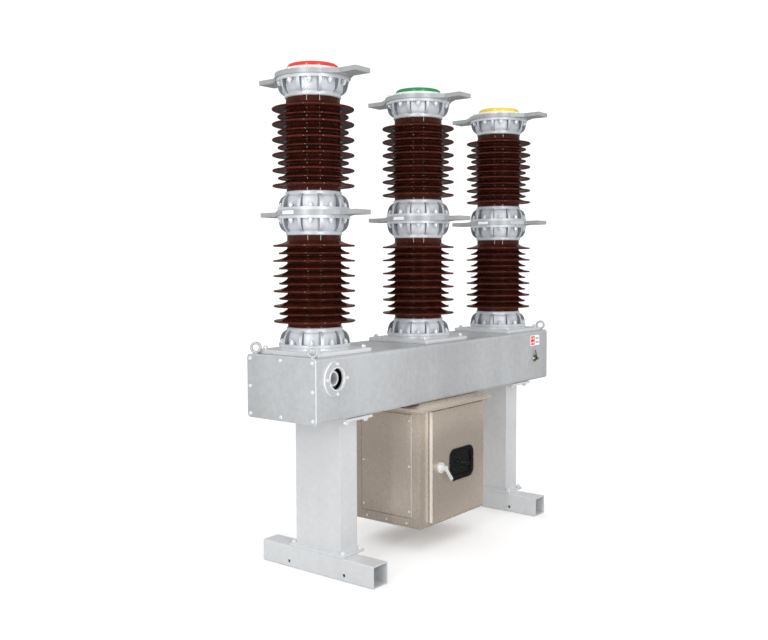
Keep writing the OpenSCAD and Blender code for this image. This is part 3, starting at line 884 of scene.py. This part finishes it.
@dataclass
class Beam:
    """The box beam with its bolted covers, drive port, lifting eyes and position indicator."""

    shop: Workshop
    cover_inset: float = 0.018
    cover_screw: Fastener = field(default_factory=lambda: Fastener(0.013, 0.0042, 0.0008))
    port_screw: Fastener = field(default_factory=lambda: Fastener(0.013, 0.0045, 0.001))
    port_circle: float = 0.064
    port_ring: float = 0.052
    race: float = 0.025
    cover: float = 0.005
    cover_corner: float = 0.016
    bar: tuple[float, float, float] = (0.058, 0.004, 0.009)

    def build_covers(self) -> None:
        """The two end covers, each with a screw at its corners and at the middle of its sides."""
        low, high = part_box("end_covers")
        covers = self.shop.piece("end_covers_finished")
        thick = self.cover
        z_middle, y_in = (low.z + high.z) / 2, high.y - self.cover_inset
        z_in = (high.z - low.z) / 2 - self.cover_inset
        for side in (-1, 1):
            plate = Shape.block((thick, high.y - low.y, high.z - low.z), 0.0)
            across = [e for e in plate.bm.edges if abs(e.verts[0].co.x - e.verts[1].co.x) > thick / 2]
            bmesh.ops.bevel(
                plate.bm, geom=across, offset=self.cover_corner, offset_type="OFFSET", segments=6,
                profile=0.5, affect="EDGES", clamp_overlap=True, material=-1,
            )
            plate.rounded(0.0009)
            face = high.x - thick
            covers.add(plate.moved((side * (face - thick / 2), 0, z_middle)), Stock.GALVANISED)
            # painted highlight on the cover's edges and side faces
            covers.repaint(Stock.EDGE, lambda _, normal: abs(normal.x) < 0.9)
            spots = [
                (side * face, y * y_in, z_middle + z * z_in)
                for y in (-1, 0, 1) for z in (-1, 0, 1) if (y, z) != (0, 0)
            ]
            covers.add(self.cover_screw.form(), Stock.ZINC, at(spots, (side, 0, 0)))
        covers.finish("end_covers")

    def build_port(self) -> None:
        """The drive port's flange with its screws, and the shaft bearing behind it."""
        low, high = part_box("port_flange")
        centre = (low + high) / 2
        port = self.shop.dressed("port_flange", Stock.GALVANISED, 0.0012)
        # painted highlight on the flange's edges and side faces
        port.repaint(Stock.EDGE, lambda _, normal: abs(normal.y) < 0.9)
        spots = [
            (centre.x + self.port_circle * math.sin(a), low.y, centre.z + self.port_circle * math.cos(a))
            for a in (math.pi / 2 * k for k in range(4))
        ]
        port.add(self.port_screw.form(), Stock.ZINC, at(spots, (0, -1, 0)))
        ring_profile = [
            (self.port_ring - 0.006, 0.0), (self.port_ring, 0.0), (self.port_ring - 0.0008, 0.0026),
            (self.port_ring - 0.0052, 0.0026), (self.port_ring - 0.006, 0.0),
        ]
        face = at([(centre.x, low.y, centre.z)], (0, -1, 0))
        port.add(Shape.lathe(ring_profile, 64), Stock.ZINC, face)
        port.finish("port_flange")
        bearing = self.shop.dressed("port_bearing", Stock.CAST, 0.0012)
        bearing_low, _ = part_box("port_bearing")
        race = self.race
        race_profile = [
            (race, -0.012), (race, 0.003), (race + 0.0025, 0.003), (race + 0.0025, 0.0008),
            (race + 0.0045, 0.0008), (race + 0.0045, 0.003), (race + 0.0075, 0.003), (race + 0.0075, -0.001),
            (race, -0.012),
        ]
        mouth = at([(centre.x, bearing_low.y, centre.z)], (0, -1, 0))
        bearing.add(Shape.lathe(race_profile, 56), Stock.ZINC, mouth)
        bearing.finish("port_bearing")

    def build_indicator(self) -> None:
        """The label, the indicator's brass plate with its cross bar, and the pointer."""
        low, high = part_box("label_plate")
        label = self.shop.dressed("label_plate", Stock.WHITE, 0.0006)
        face = low.y
        half = (high.x - low.x) / 2
        middle = (low + high) / 2
        red = Shape.block((half - 0.008, 0.0006, high.z - low.z - 0.01), 0.0002, 1)
        label.add(red.moved((middle.x - half / 2 + 0.001, face, middle.z)), Stock.RED)
        for side, stock in ((-1, Stock.WHITE), (1, Stock.GREEN)):
            bars = [
                Matrix.Translation((middle.x + side * half / 2 + dx, face - 0.0002, middle.z + dz))
                for dx in (-0.0095, 0.0095) for dz in (-0.0115, 0.0115)
            ]
            label.add(Shape.block((0.0095, 0.0009, 0.0105), 0.0002, 1), stock, bars)
        label.finish("label_plate")
        low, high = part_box("indicator_base")
        centre = (low + high) / 2
        base = self.shop.dressed("indicator_base", Stock.BRASS, 0.0007)
        bar = Shape.block(self.bar, 0.0012).moved((centre.x, high.y - 0.006, centre.z))
        base.add(bar, Stock.ZINC)
        base.finish("indicator_base")
        self.shop.dressed("indicator_pointer", Stock.POINTER, 0.0005, "pointer").finish("indicator_pointer")

    def build(self) -> None:
        """Builds the beam and what is fixed to it."""
        self.shop.dressed("beam", Stock.GALVANISED, 0.001).finish("beam")
        self.build_covers()
        self.build_port()
        self.shop.dressed("lifting_eyes", Stock.GALVANISED, 0.0008).finish("lifting_eyes")
        self.build_indicator()


@dataclass
class Stand:
    """The two legs with their plates, welds and screws, on their feet."""

    shop: Workshop
    plate: float = 0.012
    tube: tuple[float, float] = (0.116, 0.266)
    bead: float = 0.005
    leg_in: float = 0.088
    top_screw_spots: tuple[float, float] = (0.066, 0.176)
    foot_screw_spots: tuple[float, float] = (0.058, 0.147)
    top_screw: Fastener = field(default_factory=lambda: Fastener(0.024, 0.01, 0.003, 0.004))
    foot_screw: Fastener = field(default_factory=lambda: Fastener(0.019, 0.0085, 0.0025, 0.004))

    def welds(self, centre: float, height: float) -> list[tuple[Shape, Vector]]:
        """The weld beads round a tube's end.

        Args:
            centre: Where the leg stands along the beam.
            height: Height of the plate's face.

        Returns:
            Each bead's form in its place.
        """
        beads = []
        for axis, length, across in (("X", self.tube[0], self.tube[1]), ("Y", self.tube[1], self.tube[0])):
            for side in (-1, 1):
                rod = Shape.prism(10, self.bead, length + self.bead, self.bead * 0.3)
                rod.moved((0, 0, -(length + self.bead) / 2))
                rod.turned(90, "Y" if axis == "X" else "X")
                spot = Vector((0, side * across / 2, 0)) if axis == "X" else Vector((side * across / 2, 0, 0))
                beads.append((rod, spot + Vector((centre, 0, height))))
        return beads

    @staticmethod
    def corners(centre: float, reach: tuple[float, float], height: float) -> list[tuple[float, float, float]]:
        """The four corners about a leg's middle, at a reach along and across the beam."""
        return [(centre + sx * reach[0], sy * reach[1], height) for sx in (-1, 1) for sy in (-1, 1)]

    def build(self) -> None:
        """Builds both legs and both feet."""
        low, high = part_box("legs")
        # the legs and their welds take the lighter galvanised copy, which is painted light
        legs = self.shop.dressed("legs", Stock.BRIGHT, 0.0016)
        foot_top, top = low.z + self.plate, high.z - self.plate
        for side in (-1, 1):
            centre = side * (high.x - self.leg_in)
            for height in (foot_top, top):
                for rod, spot in self.welds(centre, height):
                    legs.add(rod.moved(spot), Stock.BRIGHT)
            upper = self.corners(centre, self.top_screw_spots, top)
            legs.add(self.top_screw.form(), Stock.ZINC, at(upper, (0, 0, -1)))
            lower = self.corners(centre, self.foot_screw_spots, foot_top)
            legs.add(self.foot_screw.form(), Stock.ZINC, at(lower))
        legs.finish("legs")
        # the feet take the lighter galvanised copy, which is painted light
        self.shop.dressed("feet", Stock.BRIGHT, 0.0009).finish("feet")


@dataclass
class Cabinet:
    """The stainless drive cabinet with its canopy, panels, screws, drive, door, window and handle."""

    shop: Workshop
    screw: Fastener = field(default_factory=lambda: Fastener(0.009, 0.003, 0.0008))
    seal: float = 0.009
    rail_screw_up: float = 0.02
    rosette: float = 0.0098
    fold: float = 0.006
    wall: float = 0.0035
    ways: int = 14
    way_pitch: float = 0.0125
    row_start: float = -0.135
    row_up: float = 0.33
    gauge_spot: tuple[float, float] = (-0.012, 0.432)

    def build_shell(self) -> None:
        """The body, the canopy, the hangers, the side panels with their screws, and the door's seal."""
        shop = self.shop
        low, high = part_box("cabinet_body")
        body = shop.dressed("cabinet_body", Stock.STAINLESS, 0.0009)
        panel_low, panel_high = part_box("cabinet_side_panels")
        panels = shop.dressed("cabinet_side_panels", Stock.STAINLESS, 0.0016)
        for side in (-1, 1):
            rail_y = panel_high.y - 0.03
            rail = [(side * high.x, y * rail_y, low.z + self.rail_screw_up) for y in (-1, 0, 1)]
            body.add(self.screw.form(), Stock.ZINC, at(rail, (side, 0, 0)))
            panel_y, panel_l = panel_high.y - 0.012, panel_high.z - panel_low.z
            spots = [
                (side * panel_high.x, y * panel_y, panel_low.z + share * panel_l)
                for y in (-1, 1) for share in (0.06, 0.5, 0.94)
            ]
            panels.add(self.screw.form(), Stock.ZINC, at(spots, (side, 0, 0)))
        door_low, door_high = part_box("door")
        seal_size = (door_high.x - door_low.x - 0.012, 0.0026, door_high.z - door_low.z - 0.012)
        for across in (2, 0):
            size = list(seal_size)
            size[across] = self.seal
            for side in (-1, 1):
                middle = (door_low + door_high) / 2
                middle[across] += side * (seal_size[across] - self.seal) / 2
                middle.y = low.y - size[1] / 2
                body.add(Shape.block(size, 0.0007, 1).moved(middle), Stock.RUBBER)
        body.finish("cabinet_body")
        # painted highlight on the panels' front edges
        panels.repaint(Stock.PAINTED_FOLD_HIGHLIGHT, lambda spot, normal: normal.y < -0.5 and spot.y < panel_low.y + 0.003)
        panels.finish("cabinet_side_panels")
        shop.dressed("cabinet_canopy", Stock.STAINLESS, 0.0012).finish("cabinet_canopy")
        shop.dressed("cabinet_hangers", Stock.GALVANISED, 0.0015).finish("cabinet_hangers")
        shop.dressed("door_hinges", Stock.STAINLESS, 0.0005).finish("door_hinges")

    def build_drive(self) -> None:
        """The spring drive, and the terminal rail and counter on the cabinet's right wall."""
        self.shop.dressed("drive_unit", Stock.DRIVE, 0.003).finish("drive_unit")
        _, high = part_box("cabinet_body")
        wall, up = high.x - self.wall, self.row_up
        rail = self.shop.piece("terminal_rail")
        rail.add(Shape.block((0.005, 0.2, 0.034), 0.001).moved((wall - 0.0025, -0.045, up)), Stock.ZINC)
        ways = [self.row_start + self.way_pitch * i for i in range(self.ways)]
        spots = [Matrix.Translation((wall - 0.0125, y, up)) for y in ways]
        rail.add(Shape.block((0.015, 0.0112, 0.042), 0.001, 1), Stock.POINTER, spots)
        screws = [(wall - 0.02, y, up + dz) for y in ways for dz in (-0.013, 0.013)]
        rail.add(Shape.prism(10, 0.0034, 0.0015, 0.0003), Stock.WHITE, at(screws, (-1, 0, 0)))
        gauge = [
            (0.0, 0.0), (0.034, 0.0), (0.034, 0.016), (0.031, 0.018), (0.029, 0.018), (0.028, 0.015),
            (0.0, 0.015),
        ]
        face = [Matrix.Translation((wall, *self.gauge_spot)) @ Matrix.Rotation(-math.pi / 2, 4, "Y")]
        rail.add(Shape.lathe(gauge, 48), Stock.WHITE, face)
        band = Shape.block((0.04, 0.018, 0.0012), 0.0004, 1).moved((0.004, 0.012, 0.0156))
        rail.add(band, Stock.GREEN, face)
        needle = Shape.block((0.003, 0.026, 0.0012), 0.0004, 1).moved((0.0, -0.006, 0.0165))
        rail.add(needle, Stock.POINTER, face)
        rail.finish()

    def build_door(self) -> None:
        """The door, its window in its rubber, and the handle."""
        shop = self.shop
        door = shop.dressed("door", Stock.STAINLESS, 0.0007, "door")
        low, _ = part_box("door")
        door.repaint(Stock.CHROME, lambda spot, _: spot.y < low.y + self.rosette)
        # painted highlight on the door's left fold
        door.repaint(Stock.PAINTED_FOLD_HIGHLIGHT, lambda spot, normal: normal.x < -0.3 and spot.x < low.x + self.fold)
        door.finish("door")
        shop.dressed("window_gasket", Stock.RUBBER, 0.0024, "door", 3).finish("window_gasket")
        shop.dressed("window_glass", Stock.GLASS, 0.0004, "door", 1).finish("window_glass")
        shop.dressed("door_handle", Stock.CHROME, 0.0014, "handle", 3).finish("door_handle")

    def build(self) -> None:
        """Builds the cabinet."""
        self.build_shell()
        self.build_drive()
        self.build_door()


@dataclass
class Studio:
    """A pale floor, soft lights and the camera."""

    eye: tuple[float, float, float] = (-3.8102, -2.7517, 1.4091)
    yaw: float = 0.9083
    pitch: float = -0.0651
    roll: float = -0.0034
    lens: float = 43.4
    surround: float = 1.12
    surround_in_gloss: float = 0.42
    floor_in_gloss: float = 0.12
    lamp_size: tuple[float, float] = (0.24, 3.2)
    lamp_aim: tuple[float, float, float] = (0.0, 0.0, 1.5)

    def build_camera(self) -> None:
        """The camera, turned from +Y towards +X by its yaw."""
        level = math.cos(self.pitch)
        ahead = Vector((math.sin(self.yaw) * level, math.cos(self.yaw) * level, math.sin(self.pitch)))
        right = Vector((math.cos(self.yaw), -math.sin(self.yaw), 0.0))
        up = right.cross(ahead)
        right_rolled = right * math.cos(self.roll) + up * math.sin(self.roll)
        up_rolled = up * math.cos(self.roll) - right * math.sin(self.roll)
        data = bpy.data.cameras.new("camera")
        data.lens = self.lens
        data.sensor_width = 36.0
        data.clip_start, data.clip_end = 0.05, 100.0
        camera = bpy.data.objects.new("camera", data)
        turn = Matrix((right_rolled, up_rolled, -ahead)).transposed().to_4x4()
        camera.matrix_world = Matrix.Translation(self.eye) @ turn
        bpy.context.scene.collection.objects.link(camera)
        bpy.context.scene.camera = camera

    def build_floor(self) -> None:
        """A wide pale floor."""
        bm = bmesh.new()
        bmesh.ops.create_grid(bm, x_segments=2, y_segments=2, size=40.0)
        mesh = bpy.data.meshes.new("floor")
        bm.to_mesh(mesh)
        bm.free()
        g = Graph("floor_paint")
        tone = g.noise(0.8, 3.0)
        in_gloss = g.node("ShaderNodeLightPath", output="Is Glossy Ray")
        pale = g.blend(tone, (0.91, 0.91, 0.91), (0.94, 0.94, 0.94))
        dim = (self.floor_in_gloss,) * 3
        mesh.materials.append(
            g.shade(
                Base_Color=g.blend(in_gloss, pale, dim), Roughness=0.9, Specular_IOR_Level=0.0,
                Emission_Color=g.blend(in_gloss, (0.1, 0.1, 0.1), (0.0, 0.0, 0.0)), Emission_Strength=1.0,
            )
        )
        floor = bpy.data.objects.new("floor", mesh)
        bpy.context.scene.collection.objects.link(floor)

    def lamp(self, name: str, spot: Sequence[float], watts: float) -> None:
        """A tall soft lamp that looks at the poles."""
        data = bpy.data.lights.new(name, "AREA")
        data.shape = "RECTANGLE"
        data.size, data.size_y = self.lamp_size
        data.energy = watts
        lamp = bpy.data.objects.new(name, data)
        lamp.location = spot
        lamp.rotation_mode = "QUATERNION"
        lamp.rotation_quaternion = (Vector(self.lamp_aim) - Vector(spot)).to_track_quat("-Z", "Y")
        bpy.context.scene.collection.objects.link(lamp)

    def build_lights(self) -> None:
        """A white surround and two soft lamps in front."""
        world = bpy.data.worlds.new("surround")
        world.use_nodes = True
        tree = world.node_tree
        back = tree.nodes["Background"]
        back.inputs["Color"].default_value = (1.0, 1.0, 1.0, 1.0)
        path = tree.nodes.new("ShaderNodeLightPath")
        strength = tree.nodes.new("ShaderNodeMapRange")
        strength.inputs["To Min"].default_value = self.surround
        strength.inputs["To Max"].default_value = self.surround_in_gloss
        tree.links.new(path.outputs["Is Glossy Ray"], strength.inputs["Value"])
        tree.links.new(strength.outputs["Result"], back.inputs["Strength"])
        bpy.context.scene.world = world
        self.lamp("front_lamp", (-2.6, -5.0, 2.1), 60.0)
        self.lamp("side_lamp", (-5.0, -1.2, 2.1), 50.0)

    def build(self) -> None:
        """Sets the stage."""
        bpy.context.scene.view_settings.view_transform = "Standard"
        self.build_camera()
        self.build_floor()
        self.build_lights()


def main() -> None:
    """Builds the breaker in order."""
    logging.basicConfig(level=logging.INFO, format="%(message)s")
    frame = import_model()
    shop = Workshop(frame)
    Studio().build()
    for phase in Phase:
        Pole(shop, phase).build()
    Beam(shop).build()
    Stand(shop).build()
    Cabinet(shop).build()


if __name__ == "__main__":
    main()
